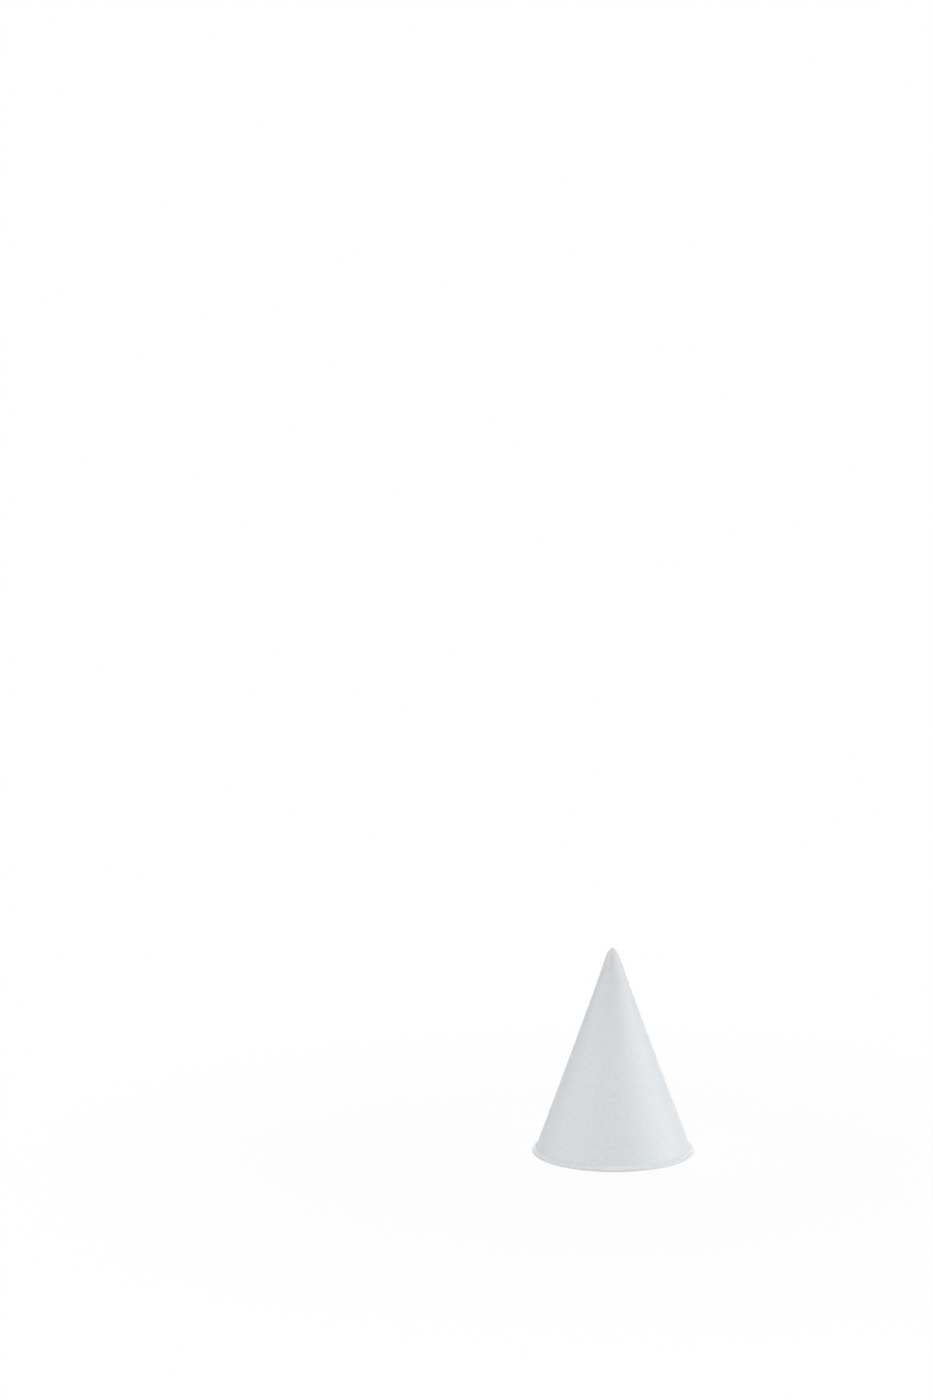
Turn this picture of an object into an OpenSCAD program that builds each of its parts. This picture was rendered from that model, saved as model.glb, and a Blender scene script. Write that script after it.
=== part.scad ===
// Cone paper cup, standing on its rolled rim with the tip up.
// One sheet of paper is wrapped once round into a cone, lapped and glued down the back,
// wrapped again round the point, and its edge is curled outward into a rolled rim.
// Millimetres. The origin is the centre of the mouth, on the plane that the rim stands on.
// +Z points to the tip, -Y to the front, and the glued seam runs down the back, at +Y.

/* [Overall] */
// Outside width across the rolled rim
rim_d = 73; // [60:1:90]
// Height from the plane that the rim stands on to the tip
cup_h = 92.8; // [80:0.4:110]

/* [Paper] */
// Thickness of the paper
sheet_t = 0.2; // [0.16:0.01:0.22]
// How far the two layers of the lap press into each other with the glue
glue_press = 0.02; // [0.015:0.005:0.03]
// Width of the glued lap inside the seam
lap_w = 8; // [5:0.5:12]

/* [Rolled rim] */
// Outside radius of the round foot of the roll
roll_r = 0.75; // [0.6:0.05:0.9]
// Height at which the roll's free edge leans back to the wall
roll_h = 2.1; // [1.9:0.1:2.6]
// How much the roll is flattened where it stands
foot_press = 0.03; // [0.01:0.01:0.06]
// Slit between the roll's free edge and the wall that it leans back to
roll_slit = 0.1; // [0.06:0.02:0.2]

/* [Tip] */
// Height of the pressed point above the end of the straight wall
point_h = 1.95; // [1.4:0.05:2.6]
// Outside radius of the single wall where the pressed point begins
point_base_r = 2.23; // [1.8:0.01:3]
// Radius of the flat end of the point
point_end_r = 0.55; // [0.5:0.05:0.9]
// How far the sides of the point bulge from straight
point_bulge = 0.1; // [0.05:0.01:0.2]
// Thickness of the crushed layers that close the point
point_cap_t = 0.7; // [0.5:0.05:1]
// Radius of the hole that the wrap leaves round the axis, plugged with crushed paper
point_hole_r = 0.25; // [0.2:0.01:0.26]

/* [Second wrap round the tip] */
// Distance from the tip down to the faint line where the inner wrap ends
line_drop = 15.4; // [12:0.2:20]
// How far the wall above that line stands out
line_step = 0.08; // [0.04:0.01:0.12]
// Height of the slope at that line
line_slope_h = 0.3; // [0.2:0.05:0.6]
// Distance from the tip down to the lower edge of the outer flap
flap_drop = 8.7; // [6:0.1:11]
// How far round from the seam the outer flap reaches, seen from above and turning left
flap_a = 169; // [120:1:178]

/* [Hidden] */
$fn = 96;

paper_white = "#E4E9EB";

// Centre of the roll's round foot in section, as radius and height
roll_mid = [rim_d / 2 - roll_r, roll_r - foot_press];
// Height where the straight wall ends and the pressed point begins
wall_top = cup_h - point_h;

// The wall's outer face passes through the base of the point and touches the inside of the roll,
// which sets its slope
slope_run = roll_mid[0] - point_base_r;
slope_rise = wall_top - roll_mid[1];
wall_a = acos((roll_r - sheet_t) / norm([slope_run, slope_rise])) - atan2(slope_rise, slope_run);

// Width of one layer of paper, and of one step of the wrap, measured level
layer_w = sheet_t / cos(wall_a);
wrap_step = (sheet_t - glue_press) / cos(wall_a);
// The wrap grows by half a step in each half turn, as half cones on two axes
wrap_shift = wrap_step / 4;

// Angle round the roll where the straight wall runs into it
roll_start = 180 + wall_a;
// Half of the angle that the flattened foot takes from the roll
foot_a = acos(roll_mid[1] / roll_r);
// Largest angle between two points of the roll's section
roll_point_a = 24;

line_z = cup_h - line_drop;
flap_z = cup_h - flap_drop;

// Radius of the wall's outer face at a height, without the step at the line
function wall_r(z) = point_base_r + (wall_top - z) * tan(wall_a);

// The roll's flank leaves its round foot at a tangent and leans straight back to the wall.
// Its free edge stops there, the slit away from the wall.
free_edge = [wall_r(roll_h) + roll_slit / cos(wall_a), roll_h];
flank = free_edge - roll_mid;
flank_a = 360 + atan2(flank[1], flank[0]) - acos((roll_r - sheet_t) / norm(flank));

function on_roll(r, a) = roll_mid + r * [cos(a), sin(a)];

// Points of a stretch of the roll, both ends included
function roll_arc(r, from, to) =
    let (n = ceil(abs(to - from) / roll_point_a))
    [for (i = [0:n]) on_roll(r, from + (to - from) * i / n)];

// Side of the pressed point, from the wall's top to the flat end, with a slight bulge halfway
point_base = [wall_r(wall_top) + line_step, wall_top];
point_end = [point_end_r, cup_h];
point_side = point_end - point_base;
point_out = [point_side[1], -point_side[0]] / norm(point_side);
point_mid = (point_base + point_end) / 2 + point_bulge * point_out;

// Outer face of the wall, from the roll's free side up to the tip
outer_line = [
    [wall_r(line_z), line_z],
    [wall_r(line_z + line_slope_h) + line_step, line_z + line_slope_h],
    point_base,
    point_mid,
    point_end
];

// Inner face of the wall, from the tip down
inner_line = [
    [point_hole_r, cup_h],
    [point_hole_r, cup_h - point_cap_t],
    [wall_r(wall_top) - layer_w, wall_top]
];

// Section of the wall and the point, with the roll left out
module wall_section() {
    foot = [on_roll(roll_r, roll_start), on_roll(roll_r - sheet_t, roll_start)];
    polygon(concat(outer_line, inner_line, foot));
}

// Section of the whole sheet: point, wall, roll with its flattened foot, and the flank with the free edge
module sheet_section() {
    outside = concat(
        roll_arc(roll_r, roll_start, 270 - foot_a),
        roll_arc(roll_r, 270 + foot_a, flank_a)
    );
    edge = [free_edge + sheet_t * [cos(flank_a), sin(flank_a)], free_edge];
    inside = roll_arc(roll_r - sheet_t, flank_a, roll_start);
    polygon(concat(outer_line, inner_line, outside, edge, inside));
}

// Turns a section through one half turn of the wrap, counted from the seam at the back.
// Even turns go round the left side, odd ones round the right side back to the seam.
// A turn that stops early ends that far from the seam where it began or ends.
module half_turn(count, angle = 180) {
    left = count % 2 == 0;
    side = left ? -1 : 1;
    start_a = left ? 90 : 90 - angle;
    translate([0, side * wrap_shift, 0])
        rotate([0, 0, start_a])
            rotate_extrude(angle = angle)
                translate([(2 * count - 1) * wrap_shift, 0])
                    children();
}

// The inner end of the sheet, glued under the seam
module lap() {
    intersection() {
        half_turn(-1, 90)
            wall_section();
        cube([lap_w, rim_d, cup_h]);
    }
}

// The outer flap that closes the tip, the last stretch of the wrap
module tip_flap() {
    intersection() {
        half_turn(2, flap_a)
            wall_section();
        translate([-rim_d, -rim_d, flap_z])
            cube([2 * rim_d, 2 * rim_d, cup_h]);
    }
}

// Crushed paper that fills the hole round the axis
module point_plug() {
    translate([0, 0, cup_h - point_cap_t])
        cylinder(r = (point_hole_r + point_end_r) / 2, h = point_cap_t);
}

module cup() {
    color(paper_white)
        union() {
            union() {
                half_turn(1)
                    sheet_section();
                lap();
            }
            half_turn(0)
                sheet_section();
            tip_flap();
            point_plug();
        }
}

cup();
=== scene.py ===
"""Cone paper cup, standing on its rolled rim: the wound sheet of paper, and the stage it stands on."""

import math

import bmesh
import bpy
import numpy as np
from bpy.props import FloatProperty, FloatVectorProperty, IntProperty, PointerProperty
from mathutils import Euler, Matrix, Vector, noise


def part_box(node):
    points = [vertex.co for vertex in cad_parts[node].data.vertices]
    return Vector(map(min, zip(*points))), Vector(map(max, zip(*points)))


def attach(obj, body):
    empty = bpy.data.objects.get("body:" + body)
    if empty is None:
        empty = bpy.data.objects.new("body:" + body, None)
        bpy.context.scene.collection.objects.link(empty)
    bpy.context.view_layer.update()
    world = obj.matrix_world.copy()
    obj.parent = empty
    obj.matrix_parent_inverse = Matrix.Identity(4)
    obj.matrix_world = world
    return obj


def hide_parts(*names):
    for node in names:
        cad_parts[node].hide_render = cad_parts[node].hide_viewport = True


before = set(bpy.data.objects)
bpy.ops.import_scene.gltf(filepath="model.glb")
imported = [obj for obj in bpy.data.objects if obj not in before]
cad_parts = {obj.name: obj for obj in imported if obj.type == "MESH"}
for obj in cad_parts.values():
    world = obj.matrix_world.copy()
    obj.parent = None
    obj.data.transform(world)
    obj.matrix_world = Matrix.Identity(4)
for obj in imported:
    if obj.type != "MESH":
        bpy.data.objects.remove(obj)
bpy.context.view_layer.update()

bl_info = {
    "name": "Cone Paper Cup",
    "version": (1, 0, 0),
    "blender": (4, 5, 0),
    "location": "3D View > Sidebar > Paper Cup",
    "description": "Winds a sheet of cup paper into a cone with a rolled rim, and sets a plain stage",
    "category": "Object",
}

CUP_LOW, CUP_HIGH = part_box("cup")
MM = 0.001

# A cut edge of the paper: how far back it is rounded, the share of its height that is left at the
# very edge, and the run of its foot
EDGE_ROUND = 0.03 * MM
EDGE_LEFT = 0.8
EDGE_FOOT = 0.02 * MM
# How far a cut edge wanders, and over what length
EDGE_DRIFT = 0.03 * MM
EDGE_DRIFT_LENGTH = 2.5 * MM
# Share of the space between two columns of faces that the columns of a cut edge may take, at most
EDGE_SPACE = 0.45
# How far the flap's free edge has sprung up, from how far back, and how deep the gap behind it is
FLAP_SPRING = 0.3 * MM
FLAP_SPRING_REACH = 1.6 * MM
FLAP_GAP = 1.1 * MM
# Share of a layer by which the underside of the flap's free edge stands off the wall, besides the spring
FLAP_LIP = 0.1
# Share of a turn by which the free edge's lower corner reaches further, and the share of a turn
# over which that fades
FLAP_SKEW = 0.012
FLAP_SKEW_TURN = 0.07
# How much higher than level that corner is, and over what height that fades
FLAP_LIFT = 0.8 * MM
FLAP_LIFT_REACH = 3 * MM
# Depth and width of the dents that pressing leaves in the point, and how far down the wall they reach
POINT_DENT = 0.35 * MM
POINT_DENT_WIDTH = 1.2 * MM
POINT_DENT_REACH = 1.2 * MM
# How much a dent in the side of the point also goes down, as a share of its depth
POINT_DENT_DOWN = 0.3
# Radius from which a dent turns from inward to down, in radii of the point's flat end
POINT_LEVEL = 1.6
# Radius of the innermost ring of faces, as a share of the radius of the point's flat end
POINT_RING = 0.3
# How far the roll's radius varies, and how much of a turn it takes to settle past the seam
ROLL_DRIFT = 0.035 * MM
SEAM_SETTLE = 0.017
# How hollow the wall's line is between the stiff rim and the stiff point, the heights between which
# that sets in, and the length below the tip over which it ends
WAIST = 0.2 * MM
WAIST_FROM, WAIST_TO = 3 * MM, 35 * MM
WAIST_END = 8 * MM
# Share of a turn, from the seam, at which the wall's oval begins
OVAL_FROM = 0.25
# How much flatter the stiff lap leaves the wall, and over how much of a turn
LAP_FLAT = 0.14 * MM
LAP_FLAT_TURN = 0.028
# Angle round the roll's foot up to which the layer of the lap covers it in full
LAP_COVERS_TO = math.radians(300)
# Radius of the hole round the axis under the crushed cap
CAP_HOLE = 0.25 * MM
# Painted shade: height from which the wall's colour is made ever darker towards the tip, up to the line
# of the inner wrap, as the far wall closes in behind and less light shows through, and the share of a
# layer that this painted shade counts for
PAINTED_SHADE_FROM = 42 * MM
PAINTED_SHADE_SHARE = 0.7
# Share of a layer that the glued lap counts for
LAP_SHOWS = 0.6
# Layers behind the surface in the middle of the tip, outside and inside
TIP_LAYERS = (2, 1)
# Smallest angle between two faces that is drawn as an edge
SHARP_ANGLE = math.radians(32)
# How far below the point the wall begins to round into it, how often the point's corners are cut off,
# and where a cut begins and ends on each stretch
POINT_SHOULDER = 1.1 * MM
POINT_CUTS = 3
POINT_CUT_PARTS = (0.25, 0.75)
# Rows of faces round the roll's foot and along its flank, and how far the flank bulges
FOOT_ROWS = 36
FLANK_ROWS = 8
FLANK_BULGE = 0.04 * MM

# What wanders round the cup, as the lowest and highest number of waves in a turn, and a seed
SEED = 11
WALL_WAVES = (7, 31, SEED)
FLAP_WAVES = (9, 60, SEED + 1)
ROLL_WAVES = (9, 70, SEED + 2)
FREE_EDGE_WAVES = (5, 40, SEED + 3)

# The paper's formation: octaves and roughness of its noise, and the values of that noise at which
# the paper is plain and cloudy
CLOUD_DETAIL = 3
CLOUD_ROUGHNESS = 0.6
CLOUD_NONE, CLOUD_FULL = 0.35, 0.7
# The fibres: octaves, roughness and distortion of their noise, and the two ways that they lie,
# turned from the run of the paper machine
FIBRE_DETAIL = 2
FIBRE_ROUGHNESS = 0.6
FIBRE_DISTORTION = 0.6
FIBRE_TURNS = (math.radians(14), math.radians(-22))
# The values of the fibres' noise where the paper is darkest and lightest, and its shade there
FIBRE_LOW, FIBRE_HIGH = 0.4, 0.8
FIBRE_DARKEST, FIBRE_LIGHTEST = 0.97, 1.02
# Share of the fibres in the relief. The rest is the formation's.
FIBRE_RELIEF = 0.55
# How much the plain spots fall short of the paper's roughness, and how much the cloudy ones go past it
PLAIN_SMOOTHER = 0.04
CLOUD_ROUGHER = 0.06
PAPER_IOR = 1.5

# The soft boxes: how wide and high, and how far from the cup
BOX_WIDTH = 0.5
BOX_HEIGHT = 0.3
BOX_DISTANCE = 0.9
# Where each soft box stands: its azimuth from straight in front, positive to the right, and its rise
# above the floor, in degrees. Its power is the setting of the same name.
SOFT_BOXES = {
    "right": (88, 10),
    "left": (-80, 10),
    "front": (-10, 10),
    "top": (0, 88),
    "back": (180, 30),
}
# Sides of the round floor, and how near and how far the camera sees, the last in radii of the floor
FLOOR_SIDES = 96
CAMERA_NEAR = 0.01
CAMERA_FAR = 4

# Sockets of a colour mix
MIX_FACTOR, MIX_A, MIX_B, MIX_RESULT = 0, 6, 7, 2


def linear(hex_colour):
    """Linear colour of an sRGB hex value."""
    channels = [int(hex_colour[i:i + 2], 16) / 255 for i in (1, 3, 5)]
    return tuple(c / 12.92 if c <= 0.04045 else ((c + 0.055) / 1.055) ** 2.4 for c in channels)


def length(name, description, metres):
    """A length property, shown in the scene's units."""
    return FloatProperty(
        name=name,
        description=description,
        default=metres,
        min=0,
        precision=5,
        subtype="DISTANCE",
        unit="LENGTH",
    )


def angle(name, description, degrees):
    """An angle property."""
    return FloatProperty(
        name=name,
        description=description,
        default=math.radians(degrees),
        subtype="ANGLE",
        unit="ROTATION",
    )


def share(name, description, value):
    """A property from 0 to 1."""
    return FloatProperty(
        name=name,
        description=description,
        default=value,
        min=0,
        max=1,
        subtype="FACTOR",
    )


def colour(name, description, hex_colour):
    """A colour property, given as sRGB hex."""
    return FloatVectorProperty(
        name=name,
        description=description,
        default=linear(hex_colour),
        min=0,
        max=1,
        size=3,
        subtype="COLOR",
    )


def amount(name, description, value):
    """A plain number that isn't negative."""
    return FloatProperty(name=name, description=description, default=value, min=0)


class SheetSettings(bpy.types.PropertyGroup):
    """Sizes of the wound sheet."""

    rim_width: length("Rim width", "Outside width across the rolled rim", CUP_HIGH.x - CUP_LOW.x)
    height: length("Height", "From the rim's foot to the tip", CUP_HIGH.z)
    paper: length("Paper", "Thickness of the paper", 0.2 * MM)
    glue_press: length("Glue press", "How far two glued layers press into each other", 0.02 * MM)
    lap_width: length("Lap width", "Width of the glued lap inside the seam", 8 * MM)
    roll_radius: length("Roll radius", "Outside radius of the roll's round foot", 0.75 * MM)
    roll_height: length("Roll height", "Height where the roll's free edge leans on the wall", 2.1 * MM)
    foot_press: length("Foot press", "How much the roll is flattened where it stands", 0.03 * MM)
    roll_slit: length("Roll slit", "Slit between the roll's free edge and the wall", 0.01 * MM)
    point_height: length("Point height", "Height of the pressed point", 1.95 * MM)
    point_base: length("Point base", "Radius of the wall where the pressed point begins", 2.23 * MM)
    point_end: length("Point end", "Radius of the point's flat end", 0.55 * MM)
    point_bulge: length("Point bulge", "How far the point's sides bulge", 0.1 * MM)
    cap: length("Cap", "Thickness of the crushed layers that close the point", 0.7 * MM)
    line_drop: length("Line drop", "From the tip down to the faint line of the inner wrap", 15.4 * MM)
    line_step: length("Line step", "How far the wall above that line stands out", 0.08 * MM)
    line_slope: length("Line slope", "Height of the slope at that line", 0.3 * MM)
    flap_drop: length("Flap drop", "From the tip down to the flap's lower edge", 8.7 * MM)
    flap_turn: angle("Flap turn", "How far round from the seam the flap reaches", 169)
    out_of_round: length("Out of round", "How far the handled rim departs from a circle", 0.12 * MM)
    ripple: length("Ripple", "Height of the soft flats that winding leaves along the wall", 0.02 * MM)
    columns: IntProperty(name="Columns", description="Faces round the cup", default=288, min=48)
    row_step: length("Row step", "Height of a row of faces on the straight wall", 1.2 * MM)


class PaperSettings(bpy.types.PropertyGroup):
    """Colours and finish of the paper."""

    sheet: colour("Sheet", "A single layer of the paper", "#E9EDF0")
    cloud: colour("Cloud", "Denser spots in the paper's formation", "#E2E7EB")
    # Also the colour of the painted shade that darkens the wall towards the tip
    doubled: colour("Doubled", "Where two or more layers lie on each other", "#E2E5E7")
    cloud_size: length("Cloud size", "Width of the cloudy spots in the paper", 1.6 * MM)
    fibre_width: length("Fibre width", "Width of a bundle of fibres, as drawn", 0.16 * MM)
    fibre_length: length("Fibre length", "Length of a bundle of fibres, as drawn", 1.4 * MM)
    relief: length("Relief", "Depth of the surface's cloud and fibre relief", 0.05 * MM)
    roughness: share("Roughness", "Roughness of the finished surface", 0.6)


class StageSettings(bpy.types.PropertyGroup):
    """Floor, lights and camera."""

    floor: colour("Floor", "Pale floor that the cup stands on", "#F2F2F2")
    floor_radius: length("Floor radius", "Radius of the round floor", 8)
    glow: share("Glow", "How much of the floor's picture is plain white near the cup", 0.93)
    glow_from: length("Glow from", "Distance from the cup from which the floor turns plain white", 0.09)
    glow_to: length("Glow to", "Distance from the cup at which the floor is all plain white", 0.3)
    room: amount("Room", "Strength of the room's even light", 0.1)
    right: amount("Right", "Power of the soft light at the right, in watts", 3.55)
    left: amount("Left", "Power of the soft light at the left, in watts", 1.42)
    front: amount("Front", "Power of the soft light in front, in watts", 2.5)
    top: amount("Top", "Power of the soft light overhead, in watts", 3.55)
    back: amount("Back", "Power of the soft light behind, in watts", 3)
    camera_distance: length("Camera distance", "From the middle of the rim to the camera", 1.2895)
    camera_height: angle("Camera height", "Angle of the camera above the floor", 14.775)
    aim_turn: angle("Aim turn", "How far the camera turns left of the cup", 2.97)
    aim_drop: angle("Aim drop", "How far the camera looks below the horizon", 5.69)
    aim_lean: angle("Aim lean", "How far the camera leans over", 0.42)
    lens: amount("Lens", "Focal length in millimetres", 72.51)


class Section:
    """Shape of the sheet's section, worked out from the settings.

    Its radii are those half a turn from the seam, at the front, in the middle of the wrap.
    """

    def __init__(self, sizes):
        self.sizes = sizes
        self.roll_r = sizes.rim_width / 2 - sizes.roll_radius
        self.roll_z = sizes.roll_radius - sizes.foot_press
        self.roll_inner = sizes.roll_radius - sizes.paper
        self.wall_top = sizes.height - sizes.point_height
        run, rise = self.roll_r - sizes.point_base, self.wall_top - self.roll_z
        self.slope = math.acos(self.roll_inner / math.hypot(run, rise)) - math.atan2(rise, run)
        self.apex_z = self.wall_top + sizes.point_base / math.tan(self.slope)
        self.layer = sizes.paper / math.cos(self.slope)
        self.wrap = (sizes.paper - sizes.glue_press) / math.cos(self.slope)
        self.flap_z = sizes.height - sizes.flap_drop
        self.line_z = sizes.height - sizes.line_drop
        self.roll_from = math.pi + self.slope
        free_edge = self.wall_r(sizes.roll_height) + sizes.roll_slit / math.cos(self.slope)
        run, rise = free_edge - self.roll_r, sizes.roll_height - self.roll_z
        reach = math.hypot(run, rise)
        self.flank_from = math.tau + math.atan2(rise, run) - math.acos(self.roll_inner / reach)
        self.flank = math.sqrt(reach ** 2 - self.roll_inner ** 2)

    def wall_r(self, z):
        """Radius of the wall's outer face at a height, without the step at the line."""
        return (self.apex_z - z) * math.tan(self.slope)

    def lap_start(self, radius):
        """Turn at which the lap begins, as it is a straight band beside the seam."""
        return 1 - np.arcsin(np.minimum(1, self.sizes.lap_width / radius)) / math.tau

    def steps(self, top, bottom):
        """Even heights from top down to just short of bottom."""
        count = max(1, round((top - bottom) / self.sizes.row_step))
        return np.linspace(top, bottom, count, endpoint=False)

    def outside_rows(self):
        """Radius, height and flap of each row of the outer face, from the tip down to the roll."""
        s = self.sizes
        base = np.array([self.wall_r(self.wall_top) + s.line_step, self.wall_top])
        end = np.array([s.point_end, s.height])
        along = (base - end) / np.linalg.norm(base - end)
        middle = (base + end) / 2 + s.point_bulge * np.array([-along[1], along[0]])
        shoulder_z = self.wall_top - POINT_SHOULDER
        shoulder = np.array([self.wall_r(shoulder_z) + s.line_step, shoulder_z])
        corners = [(s.point_end * POINT_RING, s.height), end, middle, base, shoulder]
        rows = [(*point, 1) for point in rounded(corners)[:-1]]
        line_top = self.line_z + s.line_slope
        flap = [(z, 1) for z in self.steps(shoulder_z, self.flap_z + EDGE_ROUND)]
        flap += [(self.flap_z + EDGE_ROUND, 1), (self.flap_z, EDGE_LEFT)]
        doubled = [(z, 0) for z in self.steps(self.flap_z - EDGE_FOOT, line_top + s.line_slope)]
        doubled += [(line_top + s.line_slope, 0), (line_top, 0)]
        rows += [(self.wall_r(z) + s.line_step, z, on) for z, on in flap + doubled]
        contact_z = self.roll_z + self.roll_inner * math.sin(self.roll_from)
        single = [self.line_z, *self.steps(self.line_z - s.line_slope, contact_z)]
        return rows + [(self.wall_r(z), z, 0) for z in single]

    def inside_rows(self):
        """Radius and height of each row of the inner face, from above the roll up to beside the axis."""
        contact_z = self.roll_z + self.sizes.roll_radius * math.sin(self.roll_from)
        rows = [(self.wall_r(z) - self.layer, z) for z in self.steps(self.wall_top, contact_z)[::-1]]
        return rows + [(CAP_HOLE, self.sizes.height - self.sizes.cap)]


def rounded(corners):
    """The points of a bent line with its corners cut off, again and again. Both ends stay."""
    points = [np.asarray(corner, float) for corner in corners]
    for _ in range(POINT_CUTS):
        pairs = zip(points, points[1:])
        cut = [a + (b - a) * part for a, b in pairs for part in POINT_CUT_PARTS]
        points = [points[0], *cut, points[-1]]
    return points


def smooth(x, start, stop):
    """0 before start, 1 after stop, and smooth between."""
    t = np.clip((x - start) / (stop - start), 0, 1)
    return t * t * (3 - 2 * t)


def drift(turn, lowest, highest, seed):
    """Smooth wandering, mostly between -1 and 1, that closes after a full turn.

    It is the sum of waves that go round the cup the lowest to the highest number of times.
    """
    draw = np.random.default_rng(seed)
    orders = np.arange(lowest, highest + 1)
    phases = draw.uniform(0, math.tau, len(orders))
    waves = np.cos(math.tau * np.multiply.outer(turn, orders) + phases)
    return waves.sum(-1) / math.sqrt(2 * len(orders))


class Columns:
    """Columns of the sheet's mesh, once round the cup from the seam.

    turn says where a column stands, and nudge how far beside that, as a few columns stand close
    together at each cut edge. flap, lap and seam say how much of that layer or edge a column has,
    and cut is 1 on the columns of a cut edge. lip is 1 where the flap's free edge meets its
    underside, and gap is 1 at the bottom of the gap behind that edge.
    """

    def __init__(self, section):
        sizes = section.sizes
        self.spacing = math.tau / sizes.columns
        self.flap_end = sizes.flap_turn / math.tau
        self.lap_start = section.lap_start(section.roll_r)
        edge, foot = EDGE_ROUND, EDGE_FOOT
        flap_edge = ((-edge, 1), (0, EDGE_LEFT))
        lap_edge = ((-foot, 0), (0, EDGE_LEFT), (edge, 1))
        # The values of a column are its turn, nudge, flap, lap, seam and cut
        table = [(0, foot, 1, 0, 0, 1)]
        table += [(turn, 0, 1, 0, 0, 0) for turn in self.between(0, self.flap_end)]
        table += [(self.flap_end, nudge, on, 0, 0, 1) for nudge, on in flap_edge]
        lip = len(table)
        table += [(self.flap_end, nudge, 0, 0, 0, 1) for nudge in (foot / 3, foot * 2 / 3, foot)]
        table += [(turn, 0, 0, 0, 0, 0) for turn in self.between(self.flap_end, self.lap_start)]
        table += [(self.lap_start, nudge, 0, on, 0, 1) for nudge, on in lap_edge]
        table += [(turn, 0, 0, 1, 0, 0) for turn in self.between(self.lap_start, 1)]
        table += [(1, -edge, 0, 1, 0, 1), (1, 0, 0, 1, 1, 1)]
        self.turn, self.nudge, self.flap, self.lap, self.seam, self.cut = np.array(table, float).T
        self.lip, self.gap = (np.arange(len(table)) == column for column in (lip, lip + 1))

    def between(self, start, stop):
        """Even columns between two cut edges."""
        count = round((stop - start) * math.tau / self.spacing)
        return np.linspace(start, stop, count + 1)[1:-1]

    def angle(self, turn, radius, height):
        """Angle of each point round the axis. The cut edges wander a little along their length."""
        noise_at = np.vectorize(lambda z: noise.noise(Vector((z / EDGE_DRIFT_LENGTH, 0, 0))))
        wander = EDGE_DRIFT * noise_at(height)
        space = EDGE_SPACE * self.spacing * radius / (EDGE_ROUND + EDGE_DRIFT)
        shift = np.minimum(1, space) * (self.nudge + self.cut * wander)
        return math.pi / 2 + math.tau * turn + shift / radius


class Band:
    """Rows of one face of the sheet: its points, and the layers that lie behind each, with the painted
    shade towards the tip counted among them.

    reach and flat_turn are a point's distance and angle round the cone's apex in the flat sheet.
    """

    def __init__(self, columns, radius, height, turn, layers, reach, flat_turn):
        around = columns.angle(turn, radius, height)
        self.points = np.stack([radius * np.cos(around), radius * np.sin(around), height], -1)
        self.layers = layers
        self.flat = np.stack([reach * np.cos(flat_turn), reach * np.sin(flat_turn)], -1)


def unevenness(section, columns, turn, height):
    """How far a handled cup's wall departs from the round cone. Its lines from the tip stay straight."""
    sizes = section.sizes
    middle = (columns.lap_start + 1) / 2
    off_lap = (turn - middle + 0.5) % 1 - 0.5
    shape = sizes.out_of_round * np.sin(2 * math.tau * (turn + OVAL_FROM))
    shape += sizes.ripple * drift(turn, *WALL_WAVES)
    shape -= LAP_FLAT * np.exp(-((off_lap / LAP_FLAT_TURN) ** 2))
    shape = shape * np.clip((section.apex_z - height) / section.apex_z, 0, 1)
    waist = smooth(height, WAIST_FROM, WAIST_TO) * smooth(sizes.height - height, 0, WAIST_END)
    return shape - WAIST * waist


def wrapped_radius(section, columns, turn, radius, height, out):
    """Radius of the wall where the wrap sets it out, ever less towards the axis, and uneven."""
    from_axis = np.minimum(1, radius / section.sizes.point_end)
    return radius + from_axis * out + unevenness(section, columns, turn, height)


def layers_and_painted_shade(section, turn, radius, height, flap):
    """How many layers lie behind the outermost one, with painted shade counted among them.

    The lap counts for a share of a layer. So does the painted shade that darkens the wall towards the
    tip, where the far wall closes in behind and less light shows through.
    """
    soft = section.sizes.line_slope
    lap_start = section.lap_start(radius)
    width = soft / (math.tau * radius)
    lap = smooth(turn, lap_start - width, lap_start + width)
    inner = smooth(height, section.line_z, section.line_z + soft)
    # painted shade: the wall's colour darkened towards the tip, counted as a share of a layer
    near = PAINTED_SHADE_SHARE * smooth(height, PAINTED_SHADE_FROM, section.line_z)
    return LAP_SHOWS * lap + np.maximum(inner, near) + flap


def outside_band(section, columns):
    """The outer face, with the seam's edge at the back and the flap round the tip."""
    rows = np.array(section.outside_rows())
    radius, height, flap_row = (rows[:, k, None] for k in range(3))
    flap = np.minimum(flap_row, columns.flap)
    free = (flap_row == 1) * (1 - smooth(height, section.wall_top - FLAP_SPRING_REACH, section.wall_top))
    turn = columns.turn - free * columns.gap * FLAP_GAP / (math.tau * radius)
    out = section.wrap * (columns.turn - 0.5 + flap + FLAP_LIP * free * columns.lip)
    out = out - columns.seam * (flap_row == 0) * (1 - EDGE_LEFT) * section.layer
    from_edge = (columns.flap_end - turn) * math.tau * radius
    lifted = free * np.maximum(flap, columns.lip)
    out = out + FLAP_SPRING * lifted * (1 - smooth(from_edge, 0, FLAP_SPRING_REACH))
    edge_row = np.abs(height - section.flap_z) < 2 * EDGE_ROUND
    lift = flap_lift(section, columns, height)
    height = height + lift + edge_row * EDGE_DRIFT * drift(columns.turn, *FLAP_WAVES)
    out = out - lift * math.tan(section.slope)
    radius = wrapped_radius(section, columns, turn, radius, height, out)
    radius, height = press_point(section, turn, radius, height)
    layers = layers_and_painted_shade(section, turn, radius, height, flap)
    turn = turn + flap_skew(section, columns, height)
    reach = (section.apex_z - height) / math.cos(section.slope)
    flat_turn = math.tau * (turn + (flap > 0)) * math.sin(section.slope)
    return Band(columns, radius, height, turn, layers, reach, flat_turn)


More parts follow.
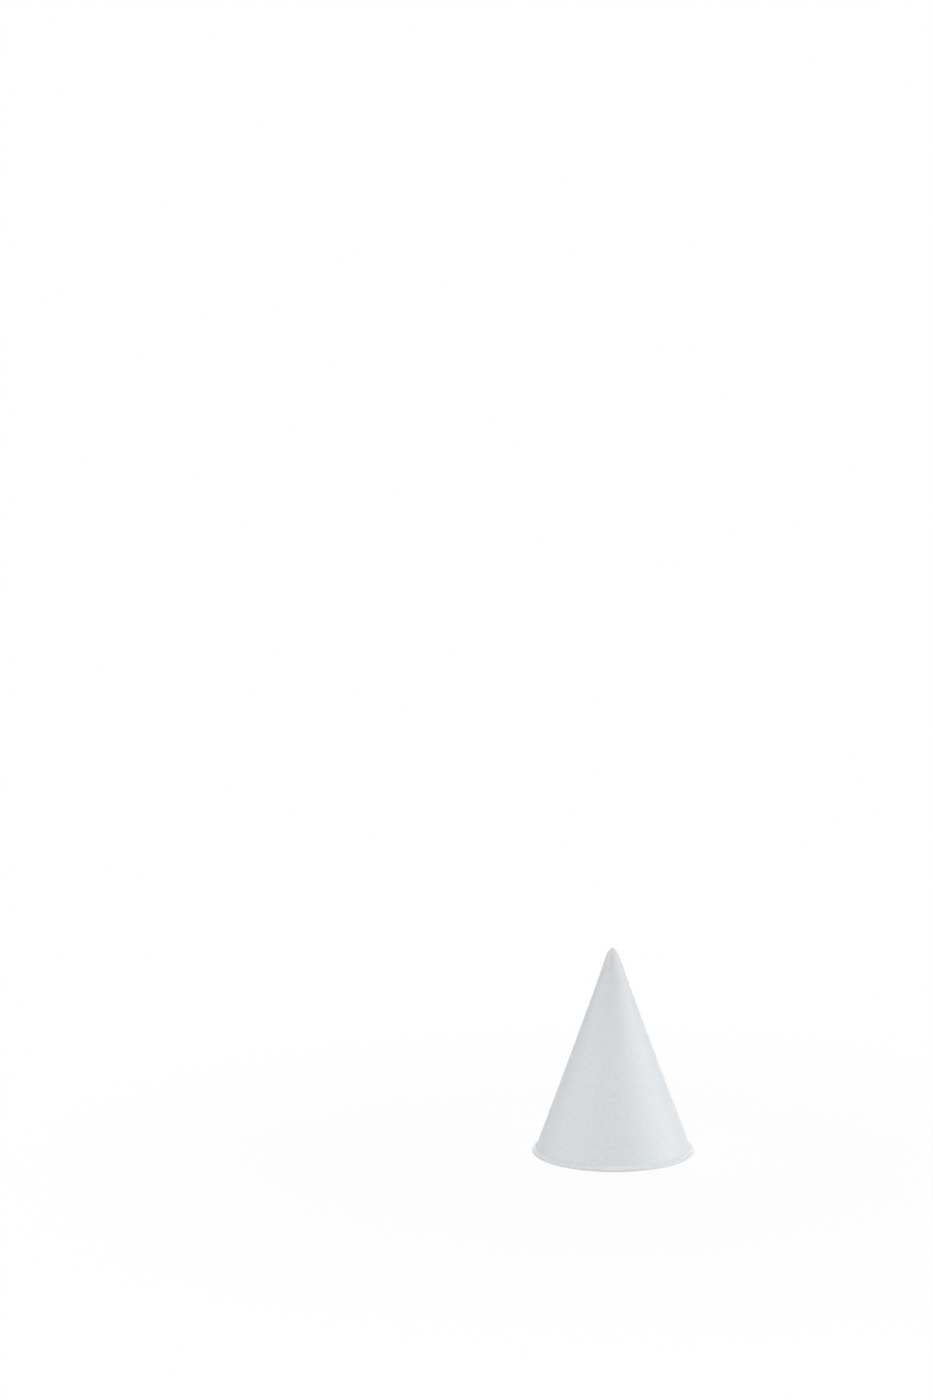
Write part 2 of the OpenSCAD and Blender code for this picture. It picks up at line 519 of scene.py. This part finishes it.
def beside_flap_end(columns):
    """1 at the flap's free edge, fading round both ways."""
    return np.exp(-(((columns.turn - columns.flap_end) / FLAP_SKEW_TURN) ** 2))


def flap_lift(section, columns, height):
    """How much higher than level the flap's lower edge runs towards its free corner."""
    near = 1 - smooth(np.abs(height - section.flap_z), 0, FLAP_LIFT_REACH)
    return FLAP_LIFT * near * beside_flap_end(columns)


def flap_skew(section, columns, height):
    """How far round the flap's free edge leans, most at its lower corner."""
    down = np.clip((section.wall_top - height) / (section.wall_top - section.flap_z), 0, 1)
    above_line = np.clip((height - section.line_z) / (section.flap_z - section.line_z), 0, 1)
    return FLAP_SKEW * down * above_line * beside_flap_end(columns)


def press_point(section, turn, radius, height):
    """Dents the point unevenly inward, where the machine has crushed its layers together."""
    sizes = section.sizes
    pressed = smooth(height, section.wall_top - POINT_DENT_REACH, section.wall_top + POINT_DENT_REACH)
    around = math.tau * turn
    depth = np.zeros(radius.shape)
    for i, j in zip(*np.nonzero(pressed > 0)):
        r = radius[i, j]
        place = Vector((r * math.cos(around[i, j]), r * math.sin(around[i, j]), height[i, j]))
        depth[i, j] = POINT_DENT * pressed[i, j] * (0.5 + 0.5 * noise.noise(place / POINT_DENT_WIDTH))
    level = smooth(sizes.point_end * POINT_LEVEL - radius, 0, sizes.point_end)
    down = POINT_DENT_DOWN + (1 - POINT_DENT_DOWN) * level
    return radius - depth * (1 - level), height - depth * down


def roll_path(section, turn):
    """The rows of the roll, from the wall to the free edge.

    Each is an angle round the foot and a distance along the flank, and then both as shares.
    """
    foot = np.linspace(0, 1, FOOT_ROWS, endpoint=False)
    flank = np.append(np.linspace(0, 1 - EDGE_ROUND / section.flank, FLANK_ROWS), 1)
    part = np.append(foot, np.ones(len(flank)))[:, None]
    along = np.append(np.zeros(len(foot)), flank)[:, None]
    around = section.roll_from + (section.flank_from - section.roll_from) * part
    short = ROLL_DRIFT * (1 + np.clip(drift(turn, *FREE_EDGE_WAVES), -1, 1))
    return np.broadcast_arrays(around, along * (section.flank - short), part, along)


def roll_point(section, middle, size, around, along, flank_part):
    """Radius and height of a point of the roll, whose foot has the given middle and size."""
    out = size + FLANK_BULGE * np.sin(math.pi * flank_part)
    radius = middle + out * np.cos(around) - along * np.sin(around)
    height = section.roll_z + out * np.sin(around) + along * np.cos(around)
    return radius, height


def roll_drift(turn):
    """How much smaller than drawn the roll is at each turn."""
    return ROLL_DRIFT * (0.5 + 0.5 * np.clip(drift(turn, *ROLL_WAVES), -1, 1))


def roll_band(section, columns, turn, radius, height, around, along):
    """A band of the roll, as uneven as the foot of the wall, with its place in the flat sheet."""
    radius = radius + unevenness(section, columns, turn, np.full(turn.shape, section.roll_z))
    reach = (section.apex_z - section.roll_z) / math.cos(section.slope)
    reach = reach + section.sizes.roll_radius * (around - section.roll_from) + along
    flat_turn = math.tau * turn * math.sin(section.slope)
    return Band(columns, radius, height, turn, np.zeros(turn.shape), reach, flat_turn)


def curl_inside_band(section, columns):
    """The outer face where it turns into the roll's hollow, up to the free edge."""
    turn = columns.turn[None, :]
    around, along, part, flank_part = roll_path(section, turn)
    turn = np.broadcast_to(turn, around.shape)
    size = section.roll_inner - roll_drift(turn) * part + EDGE_ROUND * (flank_part == 1)
    middle = section.roll_r + section.wrap * (turn - 0.5)
    radius, height = roll_point(section, middle, size, around, along, flank_part)
    return roll_band(section, columns, turn, radius, height, around, along)


def curl_outside_band(section, columns):
    """The inner face where it shows as the outside of the roll.

    The layer of the lap covers the roll's foot. Past the seam the roll settles to its single layer.
    """
    sizes = section.sizes
    turn = columns.turn[None, :]
    around, along, part, flank_part = (rows[::-1] for rows in roll_path(section, turn))
    turn = np.broadcast_to(turn, around.shape)
    past_seam = turn < 0.5
    settle = np.where(past_seam, 1 - smooth(turn, 0, SEAM_SETTLE), 1)
    lap = np.where(past_seam, 1, columns.lap)
    covers = 1 - smooth(around, LAP_COVERS_TO, section.flank_from)
    size = sizes.roll_radius - roll_drift(turn) * part - EDGE_ROUND * (flank_part == 1)
    lap_size = size + sizes.paper * lap * covers
    middle = section.roll_r + section.wrap * (turn - 0.5)
    single = roll_point(section, middle, size, around, along, flank_part)
    covered = roll_point(section, middle + section.wrap * past_seam, lap_size, around, along, flank_part)
    radius, height = ((1 - settle) * a + settle * b for a, b in zip(single, covered))
    return roll_band(section, columns, turn, radius, np.maximum(height, 0), around, along)


def inside_band(section, columns):
    """The inner face, with the edge of the lap along the seam."""
    rows = np.array(section.inside_rows())
    radius, height = (rows[:, k, None] for k in range(2))
    lap_start = section.lap_start(radius)
    before = 0.5 + (columns.turn - 0.5) * (lap_start - 0.5) / (columns.lap_start - 0.5)
    after = lap_start + (columns.turn - columns.lap_start) * (1 - lap_start) / (1 - columns.lap_start)
    turn = np.where(columns.turn < columns.lap_start, before, after)
    turn = np.where(columns.turn < 0.5, columns.turn, turn)
    out = section.wrap * (turn - 0.5 - columns.lap)
    height = np.broadcast_to(height, turn.shape)
    radius = wrapped_radius(section, columns, turn, radius, height, out)
    layers = layers_and_painted_shade(section, turn, radius, height, np.zeros(turn.shape))
    reach = (section.apex_z - height) / math.cos(section.slope)
    return Band(columns, radius, height, turn, layers, reach, math.tau * turn * math.sin(section.slope))


def sheet_faces(rows, count):
    """Faces between the rows of points, and two fans that close the outside and the inside of the tip.

    The two points in the middle of the fans come after the rows.
    """
    row, column = np.meshgrid(np.arange(rows - 1), np.arange(count), indexing="ij")
    here, beside = row * count + column, row * count + (column + 1) % count
    faces = np.stack([here, here + count, beside + count, beside], -1).reshape(-1, 4).tolist()
    tip, under_tip, last = rows * count, rows * count + 1, (rows - 1) * count
    for k in range(count):
        following = (k + 1) % count
        faces += [(tip, k, following), (under_tip, last + following, last + k)]
    return faces


def sheet_mesh(sizes):
    """Closed mesh of the wound sheet: one grid from the tip round the roll and back up inside."""
    section = Section(sizes)
    columns = Columns(section)
    makers = (outside_band, curl_inside_band, curl_outside_band, inside_band)
    bands = [make(section, columns) for make in makers]
    grid = np.concatenate([band.points for band in bands])
    middles = [(0, 0, grid[0, :, 2].mean()), (0, 0, sizes.height - sizes.cap)]
    points = np.concatenate([grid.reshape(-1, 3), middles])
    mesh = bpy.data.meshes.new("wound_cup_sheet")
    mesh.from_pydata(points.tolist(), [], sheet_faces(*grid.shape[:2]))
    mesh.shade_smooth()
    mesh.set_sharp_from_angle(angle=SHARP_ANGLE)
    # The layers behind each point, with the painted shade towards the tip counted among them, set how
    # far the paper's colour goes to the doubled colour
    layers = np.append(np.concatenate([band.layers for band in bands]).ravel(), TIP_LAYERS)
    mesh.attributes.new("layers", "FLOAT", "POINT").data.foreach_set("value", layers.astype(np.float32))
    flat = np.concatenate([band.flat for band in bands]).reshape(-1, 2)
    flat = np.concatenate([flat, np.zeros((len(middles), 2))])
    corners = np.empty(len(mesh.loops), int)
    mesh.loops.foreach_get("vertex_index", corners)
    flat_sheet = mesh.uv_layers.new(name="flat_sheet")
    flat_sheet.data.foreach_set("uv", flat[corners].astype(np.float32).ravel())
    return mesh


def add_node(tree, kind, settings=None, values=None, links=None):
    """Adds a node with its own settings, the values of its sockets, and links into its sockets."""
    node = tree.nodes.new(kind)
    for name, value in (settings or {}).items():
        setattr(node, name, value)
    for socket, value in (values or {}).items():
        node.inputs[socket].default_value = value
    for socket, source in (links or {}).items():
        tree.links.new(source, node.inputs[socket])
    return node


def new_tree(owner):
    """The empty node tree of a material or world."""
    owner.use_nodes = True
    owner.node_tree.nodes.clear()
    return owner.node_tree


def fibre_height(tree, flat, look, turn):
    """Bundles of fibres that lie mostly one way in the flat sheet, turned by an angle."""
    place = add_node(
        tree,
        "ShaderNodeMapping",
        values={"Rotation": (0, 0, turn), "Scale": (1 / look.fibre_length, 1 / look.fibre_width, 1)},
        links={"Vector": flat},
    )
    return add_node(
        tree,
        "ShaderNodeTexNoise",
        values={
            "Scale": 1,
            "Detail": FIBRE_DETAIL,
            "Roughness": FIBRE_ROUGHNESS,
            "Distortion": FIBRE_DISTORTION,
        },
        links={"Vector": place.outputs["Vector"]},
    ).outputs["Fac"]


def cup_paper(look):
    """Bleached kraft cup paper, machine finished and dry waxed.

    That gives the eye a cool white with a faint cloudy formation, fibres that lie mostly along the
    paper machine's run and so turn round the cone, and a soft satin sheen instead of a gloss.
    Real fibres are 0.03 mm wide, too fine to show, so they are drawn as bundles 0.16 mm wide.
    """
    material = bpy.data.materials.new("bleached_kraft_cup_paper_machine_finished")
    tree = new_tree(material)
    flat = add_node(tree, "ShaderNodeUVMap", {"uv_map": "flat_sheet"}).outputs["UV"]
    layers = add_node(tree, "ShaderNodeAttribute", {"attribute_name": "layers"}).outputs["Fac"]
    formation = add_node(
        tree,
        "ShaderNodeTexNoise",
        values={"Scale": 1 / look.cloud_size, "Detail": CLOUD_DETAIL, "Roughness": CLOUD_ROUGHNESS},
        links={"Vector": flat},
    ).outputs["Fac"]
    cloudy = add_node(
        tree,
        "ShaderNodeMapRange",
        values={"From Min": CLOUD_NONE, "From Max": CLOUD_FULL},
        links={"Value": formation},
    ).outputs["Result"]
    fibres = add_node(
        tree,
        "ShaderNodeMath",
        {"operation": "MAXIMUM"},
        links={side: fibre_height(tree, flat, look, turn) for side, turn in enumerate(FIBRE_TURNS)},
    ).outputs[0]
    single = add_node(
        tree,
        "ShaderNodeMix",
        {"data_type": "RGBA"},
        {MIX_A: (*look.sheet, 1), MIX_B: (*look.cloud, 1)},
        {MIX_FACTOR: cloudy},
    ).outputs[MIX_RESULT]
    # Share of the doubled colour: where layers lie behind, and painted shade that darkens the wall
    # towards the tip
    doubled = add_node(
        tree,
        "ShaderNodeMath",
        {"operation": "MINIMUM"},
        {1: 1},
        {0: layers},
    ).outputs[0]
    shade = add_node(
        tree,
        "ShaderNodeMix",
        {"data_type": "RGBA"},
        {MIX_B: (*look.doubled, 1)},
        {MIX_FACTOR: doubled, MIX_A: single},
    ).outputs[MIX_RESULT]
    lift = add_node(
        tree,
        "ShaderNodeMapRange",
        values={
            "From Min": FIBRE_LOW,
            "From Max": FIBRE_HIGH,
            "To Min": FIBRE_DARKEST,
            "To Max": FIBRE_LIGHTEST,
        },
        links={"Value": fibres},
    ).outputs["Result"]
    tinted = add_node(
        tree,
        "ShaderNodeMix",
        {"data_type": "RGBA", "blend_type": "MULTIPLY"},
        {MIX_FACTOR: 1},
        {MIX_A: shade, MIX_B: lift},
    ).outputs[MIX_RESULT]
    relief = add_node(
        tree,
        "ShaderNodeMix",
        {"data_type": "RGBA"},
        {MIX_FACTOR: FIBRE_RELIEF},
        {MIX_A: formation, MIX_B: fibres},
    ).outputs[MIX_RESULT]
    bump = add_node(
        tree,
        "ShaderNodeBump",
        values={"Strength": 1, "Distance": look.relief},
        links={"Height": relief},
    ).outputs["Normal"]
    rough = add_node(
        tree,
        "ShaderNodeMapRange",
        values={
            "From Min": CLOUD_NONE,
            "From Max": CLOUD_FULL,
            "To Min": look.roughness - PLAIN_SMOOTHER,
            "To Max": look.roughness + CLOUD_ROUGHER,
        },
        links={"Value": formation},
    ).outputs["Result"]
    paper = add_node(
        tree,
        "ShaderNodeBsdfPrincipled",
        values={"IOR": PAPER_IOR},
        links={"Base Color": tinted, "Roughness": rough, "Normal": bump},
    )
    add_node(tree, "ShaderNodeOutputMaterial", links={"Surface": paper.outputs[0]})
    return material


def seen_directly(tree):
    """1 where the camera, a reflection or a see-through path looks, and 0 where light is gathered."""
    path = add_node(tree, "ShaderNodeLightPath")
    either = add_node(
        tree,
        "ShaderNodeMath",
        {"operation": "MAXIMUM"},
        links={0: path.outputs["Is Camera Ray"], 1: path.outputs["Is Glossy Ray"]},
    ).outputs[0]
    return add_node(
        tree,
        "ShaderNodeMath",
        {"operation": "MAXIMUM"},
        links={0: either, 1: path.outputs["Is Transmission Ray"]},
    ).outputs[0]


def floor_paint(stage):
    """Matt pale floor.

    It is pictured as plain white further out, and keeps the cup's soft shadow close by.
    """
    material = bpy.data.materials.new("matt_pale_floor")
    tree = new_tree(material)
    matt = add_node(tree, "ShaderNodeBsdfDiffuse", values={"Color": (*stage.floor, 1)})
    white = add_node(tree, "ShaderNodeEmission", values={"Color": (1, 1, 1, 1), "Strength": 1})
    place = add_node(tree, "ShaderNodeTexCoord").outputs["Object"]
    far = add_node(
        tree,
        "ShaderNodeVectorMath",
        {"operation": "LENGTH"},
        links={0: place},
    ).outputs["Value"]
    share_white = add_node(
        tree,
        "ShaderNodeMapRange",
        {"interpolation_type": "SMOOTHSTEP"},
        {"From Min": stage.glow_from, "From Max": stage.glow_to, "To Min": stage.glow, "To Max": 1},
        {"Value": far},
    ).outputs["Result"]
    shown = add_node(
        tree,
        "ShaderNodeMath",
        {"operation": "MULTIPLY"},
        links={0: share_white, 1: seen_directly(tree)},
    ).outputs[0]
    mixed = add_node(
        tree,
        "ShaderNodeMixShader",
        links={0: shown, 1: matt.outputs[0], 2: white.outputs[0]},
    )
    add_node(tree, "ShaderNodeOutputMaterial", links={"Surface": mixed.outputs[0]})
    return material


def room_light(stage):
    """Even light from the room. The background is pictured as plain white."""
    world = bpy.data.worlds.new("room")
    tree = new_tree(world)
    room = add_node(tree, "ShaderNodeBackground", values={"Color": (1, 1, 1, 1), "Strength": stage.room})
    white = add_node(tree, "ShaderNodeBackground", values={"Color": (1, 1, 1, 1), "Strength": 1})
    mixed = add_node(
        tree,
        "ShaderNodeMixShader",
        links={0: seen_directly(tree), 1: room.outputs[0], 2: white.outputs[0]},
    )
    add_node(tree, "ShaderNodeOutputWorld", links={"Surface": mixed.outputs[0]})
    return world


def soft_light(name, azimuth, rise, power):
    """A soft box that looks at the middle of the cup from its azimuth and rise."""
    data = bpy.data.lights.new(name, "AREA")
    data.shape = "RECTANGLE"
    data.size = BOX_WIDTH
    data.size_y = BOX_HEIGHT
    data.energy = power
    light = bpy.data.objects.new(name, data)
    flat = math.cos(rise) * BOX_DISTANCE
    away = Vector((math.sin(azimuth) * flat, -math.cos(azimuth) * flat, math.sin(rise) * BOX_DISTANCE))
    light.location = Vector((0, 0, CUP_HIGH.z / 2)) + away
    light.rotation_euler = (-away).to_track_quat("-Z", "Y").to_euler()
    bpy.context.scene.collection.objects.link(light)


def round_floor(stage):
    """The floor, a wide disc."""
    bm = bmesh.new()
    bmesh.ops.create_circle(bm, cap_ends=True, segments=FLOOR_SIDES, radius=stage.floor_radius)
    mesh = bpy.data.meshes.new("floor")
    bm.to_mesh(mesh)
    bm.free()
    floor = bpy.data.objects.new("floor", mesh)
    floor.data.materials.append(floor_paint(stage))
    bpy.context.scene.collection.objects.link(floor)


def photo_camera(stage):
    """The camera, at the photograph's distance, height and aim."""
    data = bpy.data.cameras.new("photo_camera")
    data.lens = stage.lens
    data.clip_start = CAMERA_NEAR
    data.clip_end = CAMERA_FAR * stage.floor_radius
    camera = bpy.data.objects.new("photo_camera", data)
    back = stage.camera_distance * math.cos(stage.camera_height)
    camera.location = (0, -back, stage.camera_distance * math.sin(stage.camera_height))
    aim = Euler((math.pi / 2 - stage.aim_drop, 0, stage.aim_turn)).to_matrix()
    lean = Euler((0, 0, -stage.aim_lean)).to_matrix()
    camera.rotation_euler = (aim @ lean).to_euler()
    bpy.context.scene.collection.objects.link(camera)
    bpy.context.scene.camera = camera


class PAPERCUP_OT_wind_sheet(bpy.types.Operator):
    """Wind the sheet of paper into a cone, roll its rim, and give it its finish"""

    bl_idname = "paper_cup.wind_sheet"
    bl_label = "Wind Sheet"

    def execute(self, context):
        sheet = bpy.data.objects.new("wound_cup_sheet", sheet_mesh(context.scene.cup_sheet))
        sheet.data.materials.append(cup_paper(context.scene.cup_paper))
        context.scene.collection.objects.link(sheet)
        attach(sheet, "root")
        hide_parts("cup")
        return {"FINISHED"}


class PAPERCUP_OT_set_stage(bpy.types.Operator):
    """Set the floor, the soft lights and the camera"""

    bl_idname = "paper_cup.set_stage"
    bl_label = "Set Stage"

    def execute(self, context):
        stage = context.scene.cup_stage
        context.scene.view_settings.view_transform = "Standard"
        context.scene.world = room_light(stage)
        round_floor(stage)
        for side, (azimuth, rise) in SOFT_BOXES.items():
            power = getattr(stage, side)
            soft_light(side + "_soft_box", math.radians(azimuth), math.radians(rise), power)
        photo_camera(stage)
        return {"FINISHED"}


class PAPERCUP_PT_sidebar(bpy.types.Panel):
    """Sizes, finish and stage of the paper cup"""

    bl_label = "Paper Cup"
    bl_idname = "PAPERCUP_PT_sidebar"
    bl_space_type = "VIEW_3D"
    bl_region_type = "UI"
    bl_category = "Paper Cup"

    def draw(self, context):
        scene = context.scene
        for operator, settings in (
            (PAPERCUP_OT_wind_sheet, (scene.cup_sheet, scene.cup_paper)),
            (PAPERCUP_OT_set_stage, (scene.cup_stage,)),
        ):
            column = self.layout.column(align=True)
            column.operator(operator.bl_idname)
            for group in settings:
                for name in group.__annotations__:
                    column.prop(group, name)


SETTINGS = {"cup_sheet": SheetSettings, "cup_paper": PaperSettings, "cup_stage": StageSettings}
CLASSES = (*SETTINGS.values(), PAPERCUP_OT_wind_sheet, PAPERCUP_OT_set_stage, PAPERCUP_PT_sidebar)


def register():
    """Registers the classes and the scene's settings."""
    for cls in CLASSES:
        bpy.utils.register_class(cls)
    for name, group in SETTINGS.items():
        setattr(bpy.types.Scene, name, PointerProperty(type=group))


def unregister():
    """Removes what register adds."""
    for name in SETTINGS:
        delattr(bpy.types.Scene, name)
    for cls in reversed(CLASSES):
        bpy.utils.unregister_class(cls)


def main():
    """Makes the cup and its stage."""
    register()
    bpy.ops.paper_cup.wind_sheet()
    bpy.ops.paper_cup.set_stage()


if __name__ == "__main__":
    main()
